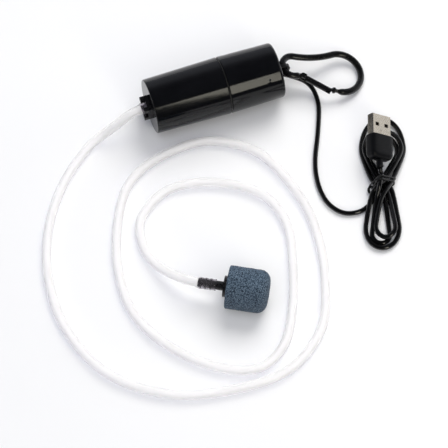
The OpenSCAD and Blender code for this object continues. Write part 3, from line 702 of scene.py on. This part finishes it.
def make_twist_tie(strands):
    """Wire tie twice round the waist of the hank, with its ends twisted together on the left."""
    wire = 0.4 * MM
    near = strands[np.hypot(strands[:, 0], strands[:, 1]) < 7 * MM]
    loops, faces = [], []
    for lean in (-0.9 * MM, 0.9 * MM):
        around = []
        for a in np.linspace(0, 2 * math.pi, 72, endpoint=False):
            slice_ = near[np.abs(near[:, 1] - lean) < 1.6 * MM][:, [0, 2]]
            out = np.array([math.cos(a), math.sin(a)])
            x, z = slice_[np.argmax(slice_ @ out)] + out * (LEAD_D / 2 + wire * 0.8)
            around.append((x, lean + 0.25 * x, max(z, wire)))
        loop = np.array(around + around[:2])
        vertices, quads = solid_tube(respaced(loop, 0.5 * MM), wire, wire, 10, up=(0, 1, 0))
        faces += [tuple(v + sum(map(len, loops)) for v in quad) for quad in quads]
        loops.append(vertices)
    left = loops[0][np.argmin(loops[0][:, 0])]
    for phase in (0, math.pi):
        twist = []
        for t in np.linspace(0, 1, 40):
            bend = np.array([-0.3 - 1.1 * math.sin(t * 2.9), 0.9 - 3.4 * t, 0.4 - 1.2 * t]) * MM
            turn = phase + t * 5 * math.pi
            splay = 1 + 0.9 * max(0, t - 0.85) / 0.15
            ring = np.array([math.cos(turn), 0.2 * math.sin(turn), math.sin(turn)]) * 0.42 * MM * splay
            twist.append(left + bend + ring)
        vertices, quads = solid_tube(np.array(twist), wire * 0.9, wire * 0.9, 10, up=(0, 0, 1))
        faces += [tuple(v + sum(map(len, loops)) for v in quad) for quad in quads]
        loops.append(vertices)
    material = LOOKS["tie_plastic"].material
    tie = add_piece("twist_tie_wire", placed(np.vstack(loops), HANK_FRAME), faces, material)
    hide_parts("twist_tie")


# ---------- snap hook ----------

# Centres and radii of the wire's arcs in the hook's plane, in millimetres, and where its nose ends
SMALL_C = (5.3, 2.35)
SMALL_R = 5.8
LARGE_C = (31.5, 2.35)
LARGE_R = 11.3
WAIST_R = 24
SPINE_R = 50
NOSE_END = -97


def arc(centre, radius, start, end, steps):
    """Points along an arc in the hook's plane, in millimetres, with angles in degrees."""
    return [(centre[0] + radius * math.cos(a), centre[1] + radius * math.sin(a), 0)
            for a in np.radians(np.linspace(start, end, steps))]


def touching(radius):
    """Centre, from the small end's own, of an arc that touches both end arcs of the hook."""
    gap = LARGE_C[0] - SMALL_C[0]
    dx = ((SMALL_R + radius) ** 2 - (LARGE_R + radius) ** 2 + gap ** 2) / (2 * gap)
    return dx, math.sqrt((SMALL_R + radius) ** 2 - dx ** 2)


def bearing(dx, dy):
    """Direction in degrees from the hook's long axis."""
    return math.degrees(math.atan2(dy, dx))


def hook_line():
    """Centre of the hook's wire, from the gate pin round the small end and the large end to the nose."""
    gap = LARGE_C[0] - SMALL_C[0]
    low_x, low_y = touching(WAIST_R)
    top_x, top_y = touching(SPINE_R)
    low_touch, top_touch = bearing(low_x, low_y), bearing(top_x, top_y)
    low = (SMALL_C[0] + low_x, SMALL_C[1] - low_y)
    top = (SMALL_C[0] + top_x, SMALL_C[1] + top_y)
    line = arc(low, WAIST_R, 165.5 - low_touch, 180 - low_touch, 12)
    line += arc(SMALL_C, SMALL_R, 360 - low_touch, top_touch, 60)[1:]
    line += arc(top, SPINE_R, top_touch - 180, bearing(gap - top_x, -top_y), 40)[1:]
    line += arc(LARGE_C, LARGE_R, bearing(top_x - gap, top_y), NOSE_END, 90)[1:]
    return np.array(line)


def make_carabiner_frame():
    """Bent wire of the hook, flattened at the gate pin and turned down to a knob at its nose."""
    line = respaced(hook_line(), 0.35)
    along = lengths_along(line)
    flat = eased(np.clip((along - 3.2) / 1.6, 0, 1))
    tip = np.sqrt(np.clip(along / 1.2, 0.02, 1))
    taper = np.clip((2.4 - (along[-1] - along)) / 2.4, 0, 1)
    slim = 1 - 0.38 * taper * taper
    across = (1.45 + 0.3 * flat) * tip * slim
    thick = (0.65 + 1.1 * flat) * np.clip(tip * 1.3, 0, 1) * slim
    heading = math.radians(175)
    # Knob at the nose, as distances ahead of the arc's end and radii
    nose = [(0.25, 1.05), (0.5, 1.01), (0.8, 1), (1.2, 1), (1.5, 1.08), (1.8, 1.5), (2.05, 1.66), (2.5, 1.7),
            (2.95, 1.62), (3.2, 1.3), (3.5, 1.02), (3.9, 0.9), (4.2, 0.68), (5.0, 0.64), (5.2, 0.2)]
    ahead = [line[-1] + np.array([math.cos(heading), math.sin(heading), 0]) * d for d, _ in nose]
    radii = np.array([r for _, r in nose])
    vertices, faces = solid_tube(np.vstack([line, ahead]), np.r_[across, radii], np.r_[thick, radii], 20)
    wire = add_piece("carabiner_wire", placed(vertices * MM, HOOK_PLANE), faces,
                     LOOKS["hook_paint"].material, body="carabiner")
    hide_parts("carabiner_frame")


# ---------- air stone ----------


def make_air_stone():
    """Cylinder of fused grit with one rounded end."""
    radius, length, edge = 11.3 * MM, 21.5 * MM, 5.5 * MM
    profile = [(0, 1.9 * MM)]
    profile += [(0, r) for r in np.linspace(2.3 * MM, radius - 0.7 * MM, 24)]
    profile += [(0.2 * MM, radius - 0.2 * MM)]
    profile += [(x, radius) for x in np.linspace(0.7 * MM, length - edge, 44)]
    for a in np.radians(np.linspace(4, 90, 22)):
        profile.append((length - edge + edge * math.sin(a), radius - edge + edge * math.cos(a)))
    profile += [(length, r) for r in np.linspace(radius - edge - 0.4 * MM, 0.25 * MM, 14)]
    vertices, faces = lathe(profile, 200)
    out = []
    for v in vertices:
        p = Vector(v) / MM
        cell = noise.voronoi(p / 0.75)[0][0]
        lump = noise.fractal(p / 2.5, 1.0, 2.0, 3)
        axis_point = Vector((min(max(p.x, edge / MM), (length - edge) / MM), 0, 0))
        outward = (p - axis_point).normalized()
        out.append((p - outward * (0.34 * cell + 0.05 - 0.1 * lump)) * MM)
    stone = add_piece("air_stone_grit", placed(out, STONE_FRAME), faces, LOOKS["stone_grit"].material)
    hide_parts("air_stone")


make_air_stone()
make_air_tube()
make_plug_body()
make_plug_springs()
strands = lead_line()
make_usb_cable(placed(strands, HANK_FRAME))
make_twist_tie(strands)
make_carabiner_frame()

# ---------- table and light ----------


def make_table():
    """Plain pale table."""
    pale = (0.86, 0.865, 0.88)
    look = Look("table", pale, 0.6)
    look.colour(look.grain(120 * MM, 2), *tones(pale, 0.004))
    bm = bmesh.new()
    bmesh.ops.create_grid(bm, x_segments=8, y_segments=8, size=3)
    mesh = bpy.data.meshes.new("table")
    bm.to_mesh(mesh)
    bm.free()
    mesh.materials.append(look.material)
    table = bpy.data.objects.new("table", mesh)
    bpy.context.scene.collection.objects.link(table)


def make_light(name, place, width, height, radiance, colour=(1, 1, 1), glossy=True):
    """Soft box at a place, facing the object, as bright as the given radiance."""
    data = bpy.data.lights.new(name, "AREA")
    data.shape = "RECTANGLE"
    data.size = width
    data.size_y = height
    data.energy = radiance * math.pi * width * height
    data.color = colour
    light = bpy.data.objects.new(name, data)
    bpy.context.scene.collection.objects.link(light)
    light.location = place
    light.rotation_mode = "QUATERNION"
    light.rotation_quaternion = (Vector((0, -0.04, 0)) - light.location).to_track_quat("-Z", "Y")
    light.visible_glossy = glossy
    light.visible_transmission = False


def make_world():
    """Room that is pale low down at the back and sides, and dark overhead and in front."""
    world = bpy.data.worlds.new("room")
    world.use_nodes = True
    tree = world.node_tree
    background = tree.nodes["Background"]
    place = tree.nodes.new("ShaderNodeTexCoord")
    tilt = tree.nodes.new("ShaderNodeVectorMath")
    tilt.operation = "DOT_PRODUCT"
    tilt.inputs[1].default_value = (0, -0.5, 1)
    spread = tree.nodes.new("ShaderNodeMapRange")
    spread.inputs["From Min"].default_value = -0.5
    ramp = tree.nodes.new("ShaderNodeValToRGB")
    stops = [(0.0, (0.52, 0.54, 0.61)), (0.38, (0.52, 0.54, 0.6)), (0.62, (0.13, 0.13, 0.15)),
             (0.76, (0.03, 0.033, 0.04))]
    for k, (at, value) in enumerate(stops):
        element = ramp.color_ramp.elements[k] if k < 2 else ramp.color_ramp.elements.new(at)
        element.position = at
        element.color = (*value, 1)
    tree.links.new(place.outputs["Generated"], tilt.inputs[0])
    tree.links.new(tilt.outputs["Value"], spread.inputs["Value"])
    tree.links.new(spread.outputs["Result"], ramp.inputs["Fac"])
    tree.links.new(ramp.outputs["Color"], background.inputs["Color"])
    bpy.context.scene.world = world


make_table()
make_world()
make_light("key", (0.64, 0.71, 1.21), 1.05, 1.05, 6.1, (1.0, 0.985, 0.95), glossy=False)
make_light("fill", (-0.5, -0.6, 1.5), 1.9, 1.9, 1.42, (0.93, 0.94, 1.0), glossy=False)
make_light("strip", (0.22, -0.88, 0.585), 0.2, 0.62, 6.4, (1.0, 0.96, 0.82))
make_light("side", (1.12, -0.1, 0.43), 0.8, 0.8, 0.7, (1.0, 0.98, 0.95))
bpy.context.scene.view_settings.view_transform = "Standard"
